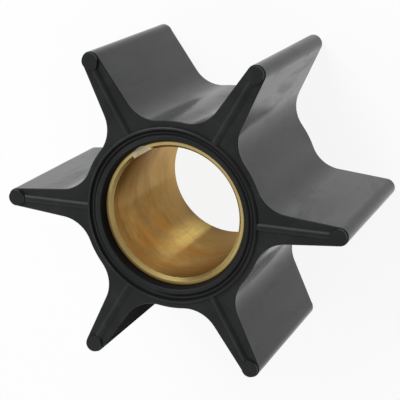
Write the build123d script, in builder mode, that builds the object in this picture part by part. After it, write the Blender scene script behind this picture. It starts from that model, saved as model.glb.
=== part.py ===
from build123d import *
from math import cos, radians, sin, tan
import os

# Flexible pump impeller: six rubber vanes and their hub, moulded as one piece
# round a keyed brass bush. Millimetres. The bore axis is Z, the lower end is at
# Z = 0, one vane points along +X, and both ends of the impeller are alike.
# A "drop" is a distance below the crest of the ring bead, the top of each end.

# Whole impeller
overall_height = 40.6
overall_diameter = 76.5      # over the vane tips
vane_count = 6
mid_height = overall_height / 2

# Brass bush
bore_radius = 14.3
bush_wall = 2.3
bush_outer_radius = bore_radius + bush_wall
bush_drop = 2.2
bush_length = overall_height - 2 * bush_drop
mouth_bevel_width = 0.6
mouth_bevel_depth = 0.85

# Half-round keyway, on the centreline of the third vane
keyway_angle = 120.0
keyway_radius = 3.0
keyway_web = 0.9             # brass left between the keyway and the rubber
keyway_centre_radius = bush_outer_radius - keyway_web - keyway_radius

# Rubber collar over the bush's end, from the inside out: lip, shallow groove,
# ridge, deep groove and ring bead
lip_overlap = 0.75           # how far the rubber laps over the bush's end face
lip_lean = 0.3               # by which the lip's inner wall leans out over its height
lip_bevel = 0.2
lip_width = 0.95
lip_drop = 0.5
shallow_groove_width = 0.62
shallow_groove_depth = 0.25
ridge_width = 0.3
ridge_drop = 0.45
deep_groove_width = 0.53
deep_groove_drop = 1.1
groove_side_lean = 0.12      # by which each side of a groove leans out over its depth
crest_width = 0.3            # flat crest of the ring bead
shoulder_width = 0.2         # shallow bevel next to the crest
shoulder_drop = 0.12
side_width = 0.15            # steep bevel down to the bead's outer wall
side_drop = 0.45
lip_foot_radius = bush_outer_radius - lip_overlap
lip_radius = lip_foot_radius + lip_lean
lip_edge_radius = lip_radius + lip_width
ridge_radius = lip_edge_radius + shallow_groove_width
ridge_edge_radius = ridge_radius + ridge_width
crest_inner_radius = ridge_edge_radius + deep_groove_width
crest_radius = crest_inner_radius + crest_width
shoulder_radius = crest_radius + shoulder_width
bead_radius = shoulder_radius + side_width

# Hub and vanes, seen along the axis
hub_margin = 1.2             # from the ring bead to the valley floor between two vanes
hub_radius = bead_radius + hub_margin
root_fillet = 7.4
tip_radius = 2.0
tip_circle_radius = overall_diameter / 2 - tip_radius
flank_taper = 5.5            # degrees by which each flank leans to the root
web_drop = 0.55              # of the vanes' end faces
edge_chamfer = 0.15

# Ribs along the end faces, and the buttons on the vane tips that they run out to
rib_radius = 1.0
rib_height = 0.45
rib_sink = rib_radius - rib_height       # the rib's axis lies this far below the end face
button_radius = 1.8
button_height = web_drop     # level with the ring bead's crest
button_draft = 5.0           # degrees
tail_length = 2.0            # from the button's centre inwards
tail_taper = 40.0            # degrees by which each side of the tail closes in

mid_plane = Plane.XY.offset(mid_height)
web_plane = Plane.XY.offset(overall_height - web_drop)

os.makedirs("parts", exist_ok=True)


def round_ended_bar(inner_x, end_x, end_radius, flank_angle):
    """Bar along +X up to a round end that its flanks touch.

    A positive angle, in degrees, makes the bar wider towards the axis.
    """
    angle = radians(flank_angle)
    touch_x = end_x + end_radius * sin(angle)
    touch_y = end_radius * cos(angle)
    inner_y = touch_y + (touch_x - inner_x) * tan(angle)
    corners = [(inner_x, -inner_y), (touch_x, -touch_y), (touch_x, touch_y), (inner_x, inner_y)]
    return Polygon(*corners, align=None)


# The rubber moulding. Its upper half is modelled and then mirrored.
with BuildPart() as vane_body:
    # Hub and vanes: tapered flanks run into the round tips, large fillets at the roots.
    with BuildSketch(mid_plane) as outline:
        Circle(hub_radius)
        with PolarLocations(0, vane_count):
            round_ended_bar(ridge_radius, tip_circle_radius, tip_radius, flank_taper)
        with PolarLocations(tip_circle_radius, vane_count):
            Circle(tip_radius)
        root_corners = outline.vertices().group_by(SortBy.DISTANCE)[0]
        fillet(root_corners, radius=root_fillet)
        Circle(ridge_radius, mode=Mode.SUBTRACT)
    extrude(amount=mid_height - web_drop)
    web_face = vane_body.faces().sort_by(Axis.Z)[-1]
    chamfer(web_face.outer_wire().edges(), length=edge_chamfer)

    # Hub collar: seat for the bush, lip, grooves and ring bead in one turned section.
    with BuildSketch(Plane.XZ) as collar:
        with BuildLine():
            Polyline(
                (bush_outer_radius, mid_height),
                (bead_radius, mid_height),
                (bead_radius, overall_height - side_drop),
                (shoulder_radius, overall_height - shoulder_drop),
                (crest_radius, overall_height),
                (crest_inner_radius, overall_height),
                (crest_inner_radius - groove_side_lean, overall_height - deep_groove_drop),
                (ridge_edge_radius + groove_side_lean, overall_height - deep_groove_drop),
                (ridge_edge_radius, overall_height - ridge_drop),
                (ridge_radius, overall_height - ridge_drop),
                (ridge_radius - groove_side_lean, overall_height - lip_drop - shallow_groove_depth),
                (lip_edge_radius, overall_height - lip_drop),
                (lip_radius, overall_height - lip_drop),
                (lip_foot_radius, overall_height - bush_drop),
                (bush_outer_radius, overall_height - bush_drop),
                close=True,
            )
        make_face()
        lip_corner = collar.vertices().group_by(Axis.X)[1]
        chamfer(lip_corner, length=lip_bevel)
    revolve(axis=Axis.Z)

    # Half-round ribs, one along the end face of each vane.
    rib_length = tip_circle_radius - crest_radius
    rib_planes = []
    for turn in PolarLocations(crest_radius, vane_count):
        start = turn.position + Vector(0, 0, overall_height - web_drop - rib_sink)
        rib_planes.append(Plane(origin=start, z_dir=turn.position))
    with BuildSketch(*rib_planes):
        Circle(rib_radius)
    extrude(amount=rib_length)

    # Flat buttons on the tips, each with a tail that closes in onto its rib.
    with BuildSketch(web_plane):
        with PolarLocations(0, vane_count):
            round_ended_bar(tip_circle_radius - tail_length, tip_circle_radius, button_radius, -tail_taper)
        with PolarLocations(tip_circle_radius, vane_count):
            Circle(button_radius)
    extrude(amount=button_height, taper=button_draft)

    mirror(about=mid_plane)

vane_body.part.label = "vane_body"
export_step(vane_body.part, "parts/vane_body.step")


# The brass bush that the rubber is bonded to, bored and keyed for the shaft.
with BuildPart() as hub_bush:
    with BuildSketch(Plane.XY.offset(bush_drop)):
        Circle(bush_outer_radius)
        Circle(bore_radius, mode=Mode.SUBTRACT)
    extrude(amount=bush_length)
    bore_wall = hub_bush.faces().filter_by(GeomType.CYLINDER).sort_by(SortBy.AREA)[0]
    chamfer(
        bore_wall.edges().filter_by(GeomType.CIRCLE),
        length=mouth_bevel_depth,
        length2=mouth_bevel_width,
        reference=bore_wall,
    )
    with BuildSketch(Plane.XY.offset(bush_drop)):
        with PolarLocations(keyway_centre_radius, 1, start_angle=keyway_angle):
            Circle(keyway_radius)
    extrude(amount=bush_length, mode=Mode.SUBTRACT)

hub_bush.part.label = "hub_bush"
export_step(hub_bush.part, "parts/hub_bush.step")
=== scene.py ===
from math import cos, radians, sin

import bpy
from mathutils import Matrix, Vector


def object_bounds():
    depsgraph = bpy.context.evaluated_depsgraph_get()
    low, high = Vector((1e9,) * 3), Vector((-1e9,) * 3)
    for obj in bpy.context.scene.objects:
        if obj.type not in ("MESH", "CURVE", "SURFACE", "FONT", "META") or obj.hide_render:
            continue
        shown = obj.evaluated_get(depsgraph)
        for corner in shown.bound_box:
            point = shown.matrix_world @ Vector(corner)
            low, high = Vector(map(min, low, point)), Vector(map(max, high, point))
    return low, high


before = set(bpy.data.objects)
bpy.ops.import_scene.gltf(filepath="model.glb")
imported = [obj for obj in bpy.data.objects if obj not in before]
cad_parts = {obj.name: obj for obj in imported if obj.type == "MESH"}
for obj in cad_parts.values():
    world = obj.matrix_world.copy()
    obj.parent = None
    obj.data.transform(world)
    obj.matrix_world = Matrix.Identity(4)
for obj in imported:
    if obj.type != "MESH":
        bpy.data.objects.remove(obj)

cad_low, cad_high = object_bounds()
bpy.ops.object.select_all(action="DESELECT")

# Hub and vanes: black nitrile rubber, moulded round the bush in one shot. Its skin is
# finely grained on the ends and smoother on the flanks. Handling has left clouds, smudges
# and wipe marks on it. The grooves and the lip wall carry painted shade, and on one side
# the shallow groove has painted light in place of it.
MM = 0.001
RUBBER_INDEX = 1.312
RUBBER_BLACK = (0.0075, 0.0082, 0.0085, 1)
RUBBER_BLOOM = (0.0155, 0.0165, 0.0165, 1)
FLANK_CLEAN = (0.0055, 0.0060, 0.0062, 1)
FLANK_SMUDGED = (0.0200, 0.0220, 0.0212, 1)
GROOVE_PAINTED_SHADE = (0.0028, 0.0028, 0.0029, 1)
GROOVE_PAINTED_LIGHT = (0.026, 0.028, 0.028, 1)
END_ROUGHNESS = 0.44
CLOUD_ROUGHNESS = 0.06
FLANK_ROUGHNESS = 0.18
SCUFF_ROUGHNESS = 0.11
GROOVE_ROUGHNESS = 0.75
# How level a face is where a flank stops, and where an end has begun
END_LEVEL = (0.06, 0.3)
# Inner and outer radius of each ring of painted shade, on the lip wall and in the grooves, and the width
# of its soft edge
LIP_WALL = (15.7 * MM, 16.28 * MM)
SHALLOW_GROOVE = (17.15 * MM, 17.70 * MM)
DEEP_GROOVE = (18.05 * MM, 18.50 * MM)
GROOVE_EDGE = 0.06 * MM
# Azimuths in degrees: from, to, and the soft edge at each
# Side where the shallow groove is painted lighter, in place of its painted shade
PAINTED_LIGHT_SIDE = (165, 262, 20, 14)
# Size, softness and cover of each kind of patch
CLOUDS = (9 * MM, 0.12, 0.5)
SCUFFS = (5 * MM, 0.10, 0.42)
SMUDGES = (2.6 * MM, 0.22, 0.5)
WIPES = (8 * MM, 0.18, 0.5)
WIPE_STRETCH = (1.0, 1.0, 0.3)
WIPE_TURN = (0.5, 0.4, 0.0)
GRAIN_SIZE = 0.35 * MM
GRAIN_DEPTH = 0.004 * MM
RIPPLE_SIZE = 7 * MM
RIPPLE_DEPTH = 0.025 * MM
PATCH_WANDER = 0.6
PATCH_DETAIL = 4.0
PATCH_FINENESS = 0.55
RELIEF_DETAIL = 2.0


def add_node(tree, kind, inputs=None, **settings):
    """A node with its settings, and the values or sockets that feed it."""
    node = tree.nodes.new(kind)
    for name, value in settings.items():
        setattr(node, name, value)
    for socket, value in (inputs or {}).items():
        if isinstance(value, bpy.types.NodeSocket):
            tree.links.new(value, node.inputs[socket])
        else:
            node.inputs[socket].default_value = value
    return node


def calculate(tree, operation, *values):
    """One sum, product, difference or comparison of numbers."""
    return add_node(tree, "ShaderNodeMath", dict(enumerate(values)), operation=operation).outputs[0]


def multiply(tree, first, *others):
    """The product of two or more numbers."""
    for other in others:
        first = calculate(tree, "MULTIPLY", first, other)
    return first


def average(tree, first, second):
    """The mean of two numbers."""
    return multiply(tree, calculate(tree, "ADD", first, second), 0.5)


def raise_by(tree, base, mask, amount):
    """The base number, with the amount added where the mask is 1."""
    return calculate(tree, "ADD", base, multiply(tree, mask, amount))


def between(tree, share, first, second):
    """The first number where the share is 0, and the second where it is 1."""
    return add_node(tree, "ShaderNodeMix", {0: share, 2: first, 3: second}).outputs[0]


def blend(tree, share, first, second):
    """The first colour where the share is 0, and the second where it is 1."""
    return add_node(tree, "ShaderNodeMix", {0: share, 6: first, 7: second}, data_type="RGBA").outputs[2]


def fade(tree, value, start, end, low=0.0, high=1.0):
    """A smooth step of the value, from low at the start to high at the end."""
    sockets = {"Value": value, "From Min": start, "From Max": end, "To Min": low, "To Max": high}
    return add_node(tree, "ShaderNodeMapRange", sockets, interpolation_type="SMOOTHSTEP").outputs["Result"]


def within(tree, value, low, high, edge):
    """1 between two values, with soft edges."""
    rise = fade(tree, value, low - edge, low + edge)
    fall = fade(tree, value, high - edge, high + edge, 1.0, 0.0)
    return multiply(tree, rise, fall)


def measure(tree, operation, *vectors):
    """The length of a vector, or the distance or dot product of two."""
    node = add_node(tree, "ShaderNodeVectorMath", dict(enumerate(vectors)), operation=operation)
    return node.outputs["Value"]


def round_axis(tree, place):
    """The place without its height, and its distance from the axis of the bore."""
    node = add_node(tree, "ShaderNodeVectorMath", {0: place, 1: (1, 1, 0)}, operation="MULTIPLY")
    across = node.outputs["Vector"]
    return across, measure(tree, "LENGTH", across)


def sector(tree, across, start, end, start_edge, end_edge):
    """1 between two azimuths that are less than 180 degrees apart, with soft edges."""
    unit = add_node(tree, "ShaderNodeVectorMath", {0: across}, operation="NORMALIZE").outputs["Vector"]
    share = 1.0
    for azimuth, edge in ((start + 90, start_edge), (end - 90, end_edge)):
        inwards = (cos(radians(azimuth)), sin(radians(azimuth)), 0)
        inside = measure(tree, "DOT_PRODUCT", unit, inwards)
        reach = sin(radians(edge))
        share = multiply(tree, share, fade(tree, inside, -reach, reach))
    return share


def levelness(tree):
    """1 on faces that look straight up or down, and 0 on upright ones."""
    normal = add_node(tree, "ShaderNodeNewGeometry").outputs["True Normal"]
    upward = add_node(tree, "ShaderNodeSeparateXYZ", {0: normal}).outputs["Z"]
    return calculate(tree, "ABSOLUTE", upward)


def stretch(tree, place, scale, turn=(0, 0, 0)):
    """Places on which a pattern comes out longer where the scale is under 1."""
    inputs = {"Vector": place, "Rotation": turn, "Scale": scale}
    return add_node(tree, "ShaderNodeMapping", inputs).outputs["Vector"]


def new_group(name, numbers, output):
    """An empty node group that reads a place and some numbers, with its inner sockets."""
    group = bpy.data.node_groups.new(name, "ShaderNodeTree")
    group.interface.new_socket("Place", in_out="INPUT", socket_type="NodeSocketVector")
    for number in numbers:
        group.interface.new_socket(number, in_out="INPUT", socket_type="NodeSocketFloat")
    group.interface.new_socket(output, in_out="OUTPUT", socket_type="NodeSocketFloat")
    return group, group.nodes.new("NodeGroupInput").outputs, group.nodes.new("NodeGroupOutput").inputs


def noise(group, given, size, **values):
    """Cloudy noise whose blobs have a given size."""
    scale = calculate(group, "DIVIDE", 1.0, given[size])
    inputs = {"Vector": given["Place"], "Scale": scale} | values
    return add_node(group, "ShaderNodeTexNoise", inputs).outputs["Fac"]


# Soft-edged patches, for clouds on the rubber and tarnish on the brass
soft_patches, given, result = new_group("soft_patches", ("Size", "Edge", "Cover", "Wander"), "Mask")
spots = noise(soft_patches, given, "Size",
              Detail=PATCH_DETAIL, Roughness=PATCH_FINENESS, Distortion=given["Wander"])
middle = calculate(soft_patches, "SUBTRACT", 1.0, given["Cover"])
low_edge = calculate(soft_patches, "SUBTRACT", middle, given["Edge"])
high_edge = calculate(soft_patches, "ADD", middle, given["Edge"])
soft_patches.links.new(fade(soft_patches, spots, low_edge, high_edge), result["Mask"])

# The height of a fine grain over a slow ripple
surface_relief, given, result = new_group(
    "surface_relief", ("Grain Size", "Grain Depth", "Ripple Size", "Ripple Depth"), "Height")
grain = noise(surface_relief, given, "Grain Size", Detail=RELIEF_DETAIL)
ripple = noise(surface_relief, given, "Ripple Size", Detail=RELIEF_DETAIL)
surface_relief.links.new(calculate(surface_relief, "ADD",
                                   multiply(surface_relief, grain, given["Grain Depth"]),
                                   multiply(surface_relief, ripple, given["Ripple Depth"])),
                         result["Height"])


def patches(tree, place, size, edge, cover, wander=PATCH_WANDER):
    """A mask of soft patches. With no wander they keep to straight lines."""
    inputs = {"Place": place, "Size": size, "Edge": edge, "Cover": cover, "Wander": wander}
    return add_node(tree, "ShaderNodeGroup", inputs, node_tree=soft_patches).outputs["Mask"]


def relief(tree, place, grain_size, grain_depth, ripple_size, ripple_depth):
    """The normal of a surface with a fine grain and a slow ripple."""
    inputs = {"Place": place, "Grain Size": grain_size, "Grain Depth": grain_depth,
              "Ripple Size": ripple_size, "Ripple Depth": ripple_depth}
    height = add_node(tree, "ShaderNodeGroup", inputs, node_tree=surface_relief).outputs["Height"]
    bump = add_node(tree, "ShaderNodeBump", {"Strength": 1.0, "Distance": 1.0, "Height": height})
    return bump.outputs["Normal"]


def new_material(name):
    """A material, its nodes, the places on the piece and the shader."""
    material = bpy.data.materials.new(name)
    material.use_nodes = True
    tree = material.node_tree
    place = add_node(tree, "ShaderNodeTexCoord").outputs["Object"]
    return material, tree, place, tree.nodes["Principled BSDF"]


def finish_surface(tree, shader, colour, roughness, normal):
    """Gives the shader what changes over the surface."""
    for socket, value in (("Base Color", colour), ("Roughness", roughness), ("Normal", normal)):
        tree.links.new(value, shader.inputs[socket])


def dress(node, material):
    """Gives a node's solid its material."""
    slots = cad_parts[node].data.materials
    slots.clear()
    slots.append(material)


rubber, tree, place, skin = new_material("moulded_rubber")
skin.inputs["IOR"].default_value = RUBBER_INDEX
across, radius = round_axis(tree, place)
on_end = fade(tree, levelness(tree), *END_LEVEL)
slanted = stretch(tree, place, WIPE_STRETCH, WIPE_TURN)
clouds = patches(tree, place, *CLOUDS)
scuffs = patches(tree, slanted, *SCUFFS)
smudges = patches(tree, slanted, *SMUDGES)
wipes = patches(tree, slanted, *WIPES)

shallow_groove = within(tree, radius, *SHALLOW_GROOVE, GROOVE_EDGE)
# Painted light: on one side the shallow groove is painted paler, as if lit
painted_groove_light = multiply(tree, shallow_groove, sector(tree, across, *PAINTED_LIGHT_SIDE))
# Painted shade: the lip wall and the grooves get a darker colour, and a rougher finish
painted_shade_rings = calculate(tree, "MAXIMUM", within(tree, radius, *LIP_WALL, GROOVE_EDGE),
                       within(tree, radius, *DEEP_GROOVE, GROOVE_EDGE))
painted_groove_shade = calculate(tree, "MAXIMUM", painted_shade_rings, calculate(tree, "SUBTRACT", shallow_groove, painted_groove_light))

flank_roughness = raise_by(tree, FLANK_ROUGHNESS, scuffs, SCUFF_ROUGHNESS)
end_roughness = raise_by(tree, END_ROUGHNESS, clouds, CLOUD_ROUGHNESS)
roughness = between(tree, on_end, flank_roughness, end_roughness)
roughness = between(tree, painted_groove_shade, roughness, GROOVE_ROUGHNESS)

flank_colour = blend(tree, average(tree, smudges, wipes), FLANK_CLEAN, FLANK_SMUDGED)
end_colour = blend(tree, average(tree, clouds, scuffs), RUBBER_BLACK, RUBBER_BLOOM)
colour = blend(tree, on_end, flank_colour, end_colour)
# Painted shade darkens the lip wall and the grooves
colour = blend(tree, painted_groove_shade, colour, GROOVE_PAINTED_SHADE)
# Painted light pales the shallow groove on one side
colour = blend(tree, painted_groove_light, colour, GROOVE_PAINTED_LIGHT)

grain_depth = multiply(tree, on_end, GRAIN_DEPTH)
normal = relief(tree, place, GRAIN_SIZE, grain_depth, RIPPLE_SIZE, RIPPLE_DEPTH)
finish_surface(tree, skin, colour, roughness, normal)
dress("vane_body", rubber)

# Bush: yellow brass tube, turned on both ends, with the keyway milled through its bore, and
# bonded into the rubber. Its faces are bright from the tool. Its bore is paler on one side and
# browner on the next, parted by a straight edge along it, and has gone brown and orange in
# patches where hands and water reached it. One stripe of the bore is a painted highlight, and
# painted shade darkens the bore just inside the mouth and the face towards the rubber lip.
BRASS_BRIGHT = (0.62, 0.50, 0.21, 1)
BRASS_BORE = (0.42, 0.255, 0.078, 1)
BRASS_PALE = (0.52, 0.335, 0.140, 1)
BRASS_BROWN = (0.25, 0.130, 0.035, 1)
BRASS_ORANGE = (0.43, 0.19, 0.035, 1)
BRASS_PAINTED_SHADE = (0.115, 0.058, 0.017, 1)
BRASS_PAINTED_GAP_SHADE = (0.035, 0.024, 0.010, 1)
BRASS_MILLED = (0.58, 0.53, 0.44, 1)
BRASS_PAINTED_HIGHLIGHT = (0.97, 0.72, 0.24, 1)
BRASS_EDGE_TINT = (0.92, 0.80, 0.60, 1)
# How strongly each tone covers the one under it
BROWN_SIDE_SHARE = 0.55
BROWN_PATCH_SHARE = 0.40
MOTTLE_SHARE = 0.30
ORANGE_SHARE = 0.85
PAINTED_SHADE_SHARE = 0.7
HAIRLINE_SHARE = 0.22
PAINTED_HIGHLIGHT_SHARE = 0.6
PAINTED_HIGHLIGHT_STREAK_SHARE = 0.5
FACE_BROWN_SHARE = 0.35
FACE_PAINTED_SHADE_SHARE = 0.75
BRASS_ROUGHNESS = 0.26
BROWN_ROUGHNESS = 0.16
HAIRLINE_ROUGHNESS = 0.06
SCOURED_ROUGHNESS = 0.26
# How level the metal is where the bore stops, and where a face has begun
FACE_LEVEL = (0.2, 0.5)
# How a pattern is scaled to draw it out along the bore or round it
ALONG_BORE = (1, 1, 0.07)
ROUND_BORE = (0.5, 0.5, 1)
TOOL_LINES = (0.08, 0.08, 1)
# Size, softness and cover of each kind of patch, and no wander where it keeps to lines
BROWN_PATCHES = (6 * MM, 0.25, 0.5)
ORANGE_PATCHES = (5 * MM, 0.14, 0.5)
MOTTLE = (1.8 * MM, 0.25, 0.5)
HAIRLINES = (0.45 * MM, 0.25, 0.5, 0.0)
STREAKS = (0.8 * MM, 0.2, 0.5, 0.0)
# Grain size and depth, and ripple size and depth
BRASS_RELIEF = (0.25 * MM, 0.004 * MM, 5 * MM, 0.01 * MM)
# Where a tone or a finish lies: azimuths in degrees, from, to and the soft edge at each,
# and heights in the bore, from, to and the soft edge of both
PALE_ZONE = ((120, 188, 14, 2), (-2 * MM, 31 * MM, 6 * MM))
BROWN_ZONE = ((186, 236, 4, 12), (-2 * MM, 40 * MM, 4 * MM))
ORANGE_ZONE = ((205, 300, 15, 15), (16 * MM, 37 * MM, 5 * MM))
# Painted highlight: a bright stripe down one side of the bore
PAINTED_HIGHLIGHT_ZONE = ((235, 251, 11, 3), (-14 * MM, 22 * MM, 13 * MM))
# Painted shade just inside the mouth, on two sides, where the rubber lip shades the bore
KEYWAY_PAINTED_SHADE_ZONE = ((110, 168, 10, 14), (33 * MM, 41 * MM, 3 * MM))
FACING_PAINTED_SHADE_ZONE = ((258, 330, 14, 10), (32 * MM, 41 * MM, 6 * MM))
PALE_FOOT = (-9 * MM, 8 * MM, 8 * MM)
FACE_PAINTED_SHADE_SIDE = (175, 320, 45, 25)
SCOURED_SIDE = (312, 352, 14, 10)
# The radii over which the bevelled mouth ends, the face begins, and the painted shade of the lip's gap
# begins
MOUTH_END = (14.75 * MM, 14.95 * MM)
FACE_START = (14.85 * MM, 15.05 * MM)
GAP_SHADE_START = (15.35 * MM, 15.70 * MM)
BORE_RADIUS = 14.3 * MM
# The keyway's back is round, with its centre this far from the axis of the bore
KEYWAY_RADIUS = 3.0 * MM
KEYWAY_OFFSET = 12.7 * MM
KEYWAY_AZIMUTH = 120
KEYWAY_MARGIN = 0.06 * MM

brass, tree, place, metal = new_material("turned_brass")
metal.inputs["Metallic"].default_value = 1.0
metal.inputs["Specular Tint"].default_value = BRASS_EDGE_TINT
across, radius = round_axis(tree, place)
height = add_node(tree, "ShaderNodeSeparateXYZ", {0: place}).outputs["Z"]
on_face = fade(tree, levelness(tree), *FACE_LEVEL)
around = stretch(tree, place, ROUND_BORE)
brown = patches(tree, around, *BROWN_PATCHES)
orange = patches(tree, place, *ORANGE_PATCHES)
mottle = patches(tree, place, *MOTTLE)
hairlines = patches(tree, stretch(tree, place, TOOL_LINES), *HAIRLINES)
streaks = patches(tree, stretch(tree, place, ALONG_BORE), *STREAKS)


def zone(side, heights):
    """1 on one side of the bore between two heights."""
    return multiply(tree, sector(tree, across, *side), within(tree, height, *heights))


def cover(under, tone, *shares):
    """A tone laid over a colour, as strongly as the product of the shares."""
    return blend(tree, multiply(tree, *shares), under, tone)


# Painted shade just inside the mouth
painted_rim_shade = calculate(tree, "MAXIMUM", zone(*KEYWAY_PAINTED_SHADE_ZONE), zone(*FACING_PAINTED_SHADE_ZONE))
# Streaks in the painted highlight
painted_highlight_streaks = raise_by(tree, PAINTED_HIGHLIGHT_SHARE, average(tree, streaks, mottle), PAINTED_HIGHLIGHT_STREAK_SHARE)
bore = cover(BRASS_BORE, BRASS_PALE, zone(*PALE_ZONE))
bore = cover(bore, BRASS_BROWN, zone(*BROWN_ZONE), BROWN_SIDE_SHARE)
bore = cover(bore, BRASS_BROWN, brown, BROWN_PATCH_SHARE)
bore = cover(bore, BRASS_PALE, mottle, MOTTLE_SHARE)
bore = cover(bore, BRASS_ORANGE, zone(*ORANGE_ZONE), orange, ORANGE_SHARE)
bore = cover(bore, BRASS_PALE, within(tree, height, *PALE_FOOT))
# Painted shade darkens the bore just inside the mouth
bore = cover(bore, BRASS_PAINTED_SHADE, painted_rim_shade, PAINTED_SHADE_SHARE)
bore = cover(bore, BRASS_BROWN, hairlines, HAIRLINE_SHARE)
# Painted highlight: one stripe of the bore is painted bright
bore = cover(bore, BRASS_PAINTED_HIGHLIGHT, zone(*PAINTED_HIGHLIGHT_ZONE), painted_highlight_streaks)

# Painted shade on the outer part of the face, on one side, as in the rubber's shadow
painted_face_shade = multiply(tree, sector(tree, across, *FACE_PAINTED_SHADE_SIDE), fade(tree, radius, *FACE_START))
face = cover(BRASS_BRIGHT, BRASS_BORE, brown, FACE_BROWN_SHARE)
# Painted shade browns the outer face on that side
face = cover(face, BRASS_BROWN, painted_face_shade, FACE_PAINTED_SHADE_SHARE)
# Painted shade: the face darkens towards the rubber lip, as in the shadow of the gap
face = cover(face, BRASS_PAINTED_GAP_SHADE, fade(tree, radius, *GAP_SHADE_START))

keyway_turn = radians(KEYWAY_AZIMUTH)
keyway_centre = (KEYWAY_OFFSET * cos(keyway_turn), KEYWAY_OFFSET * sin(keyway_turn), 0)
to_keyway = measure(tree, "DISTANCE", across, keyway_centre)
off_wall = calculate(tree, "ABSOLUTE", calculate(tree, "SUBTRACT", to_keyway, KEYWAY_RADIUS))
in_keyway = multiply(tree, calculate(tree, "GREATER_THAN", radius, BORE_RADIUS + KEYWAY_MARGIN),
                     calculate(tree, "LESS_THAN", off_wall, KEYWAY_MARGIN))
colour = blend(tree, on_face, bore, face)
colour = blend(tree, in_keyway, colour, BRASS_MILLED)

mouth = fade(tree, radius, *MOUTH_END, 1.0, 0.0)
scoured = multiply(tree, mouth, on_face, sector(tree, across, *SCOURED_SIDE))
roughness = raise_by(tree, BRASS_ROUGHNESS, brown, BROWN_ROUGHNESS)
roughness = raise_by(tree, roughness, hairlines, HAIRLINE_ROUGHNESS)
roughness = raise_by(tree, roughness, scoured, SCOURED_ROUGHNESS)
finish_surface(tree, metal, colour, roughness, relief(tree, around, *BRASS_RELIEF))
dress("hub_bush", brass)

# Floor: a matt white board under the impeller. It reads as the white background and still
# takes the impeller's shadow. Mirrored rays also see a painted shadow on it, a dark patch
# under one vane which the camera doesn't see.
FLOOR_SIZE = 6.0
FLOOR_DROP = 0.02 * MM
FLOOR_WHITE = (0.9, 0.9, 0.9, 1)
BACKGROUND_WHITE = (1.0, 1.0, 1.0, 1)
BACKGROUND_SHARE = 0.9
MIRRORED_SHADE_CENTRE = (-19 * MM, -35 * MM, 0)
MIRRORED_SHADE_CORE = 22 * MM
MIRRORED_SHADE_REACH = 36 * MM
MIRRORED_SHADE_DARKNESS = 0.992

bpy.ops.mesh.primitive_plane_add(size=FLOOR_SIZE, location=(0, 0, cad_low.z - FLOOR_DROP))
floor = bpy.context.object
floor.name = "floor"
board = bpy.data.materials.new("white_board")
board.use_nodes = True
tree = board.node_tree
tree.nodes.clear()
path = add_node(tree, "ShaderNodeLightPath").outputs
seen = calculate(tree, "MAXIMUM", path["Is Camera Ray"],
                 calculate(tree, "MAXIMUM", path["Is Glossy Ray"], path["Is Transmission Ray"]))
spot = add_node(tree, "ShaderNodeTexCoord").outputs["Object"]
# Painted shadow on the floor, seen only in mirrored rays
from_mirrored_shade = measure(tree, "DISTANCE", spot, MIRRORED_SHADE_CENTRE)
mirrored_shade = fade(tree, from_mirrored_shade, MIRRORED_SHADE_CORE, MIRRORED_SHADE_REACH, MIRRORED_SHADE_DARKNESS, 0.0)
dark = multiply(tree, path["Is Glossy Ray"], mirrored_shade)
share = calculate(tree, "MAXIMUM", multiply(tree, seen, BACKGROUND_SHARE), dark)
paint = add_node(tree, "ShaderNodeBsdfDiffuse", {"Color": FLOOR_WHITE})
glow = add_node(tree, "ShaderNodeEmission",
                {"Color": BACKGROUND_WHITE, "Strength": calculate(tree, "SUBTRACT", 1.0, dark)})
shown = add_node(tree, "ShaderNodeMixShader", {0: share, 1: paint.outputs[0], 2: glow.outputs[0]})
add_node(tree, "ShaderNodeOutputMaterial", {"Surface": shown.outputs[0]})
floor.data.materials.append(board)

# Studio: white walls and one large soft lamp. High up, on the side where the camera stands,
# the walls give less light and show dim where the impeller mirrors them.
DIM_AZIMUTH = 39.4
DIM_ELEVATION = 62
# How near that direction the walls begin to dim, and where they are dimmest
DIM_SPREAD = (0.35, 1.0)
STUDIO_WHITE = (1.0, 1.0, 1.0, 1)
STUDIO_DIM = (0.12, 0.12, 0.12, 1)
LAMP_AZIMUTH = 120
LAMP_ELEVATION = 38
LAMP_DISTANCE = 0.9
LAMP_SIZE = 0.6
LAMP_POWER = 6


def direction(azimuth, elevation):
    """The direction with an azimuth and an elevation in degrees."""
    turn = radians(azimuth)
    rise = radians(elevation)
    return Vector((cos(turn) * cos(rise), sin(turn) * cos(rise), sin(rise)))


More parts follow.
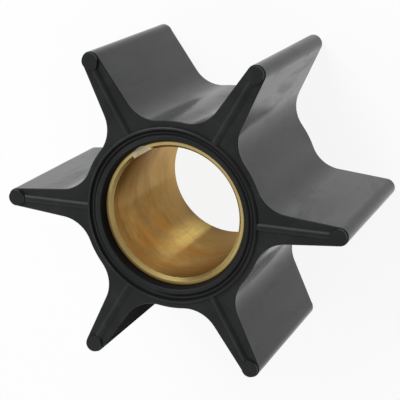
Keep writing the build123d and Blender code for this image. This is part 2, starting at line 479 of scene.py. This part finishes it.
world = bpy.data.worlds.new("studio")
bpy.context.scene.world = world
world.use_nodes = True
tree = world.node_tree
tree.nodes.clear()
look = add_node(tree, "ShaderNodeTexCoord").outputs["Generated"]
nearness = measure(tree, "DOT_PRODUCT", look, direction(DIM_AZIMUTH, DIM_ELEVATION))
walls = blend(tree, fade(tree, nearness, *DIM_SPREAD), STUDIO_WHITE, STUDIO_DIM)
path = add_node(tree, "ShaderNodeLightPath").outputs
seen = calculate(tree, "MAXIMUM", path["Is Camera Ray"], path["Is Transmission Ray"])
walls = blend(tree, seen, walls, STUDIO_WHITE)
backdrop = add_node(tree, "ShaderNodeBackground", {"Color": walls, "Strength": 1.0})
add_node(tree, "ShaderNodeOutputWorld", {"Surface": backdrop.outputs[0]})

lamp = bpy.data.lights.new("soft_lamp", "AREA")
lamp.shape = "DISK"
lamp.size = LAMP_SIZE
lamp.energy = LAMP_POWER
lamp_stand = bpy.data.objects.new("soft_lamp", lamp)
bpy.context.scene.collection.objects.link(lamp_stand)
towards = direction(LAMP_AZIMUTH, LAMP_ELEVATION)
lamp_stand.location = towards * LAMP_DISTANCE
lamp_stand.rotation_euler = towards.to_track_quat("Z", "Y").to_euler()

# Camera: a long lens, 0.3 m away, that looks down on the upper end at a slant. It is rolled,
# so that the impeller seems to stand on two of its vanes.
CAMERA_AZIMUTH = 39.378
CAMERA_ELEVATION = 63.382
CAMERA_DISTANCE = 295.894 * MM
CAMERA_AIM = Vector((-1.176, -2.001, 20.3)) * MM
CAMERA_ROLL = -125.78
SENSOR_WIDTH = 36
FOCAL_LENGTH = 119.616
CLIP_START = 0.01

lens = bpy.data.cameras.new("camera")
lens.sensor_width = SENSOR_WIDTH
lens.lens = FOCAL_LENGTH
lens.clip_start = CLIP_START
camera = bpy.data.objects.new("camera", lens)
bpy.context.scene.collection.objects.link(camera)
towards = direction(CAMERA_AZIMUTH, CAMERA_ELEVATION)
upright = towards.to_track_quat("Z", "Y")
camera.location = CAMERA_AIM + towards * CAMERA_DISTANCE
camera.rotation_mode = "QUATERNION"
camera.rotation_quaternion = upright @ Matrix.Rotation(radians(CAMERA_ROLL), 3, "Z").to_quaternion()
bpy.context.scene.camera = camera
bpy.context.scene.view_settings.view_transform = "Standard"
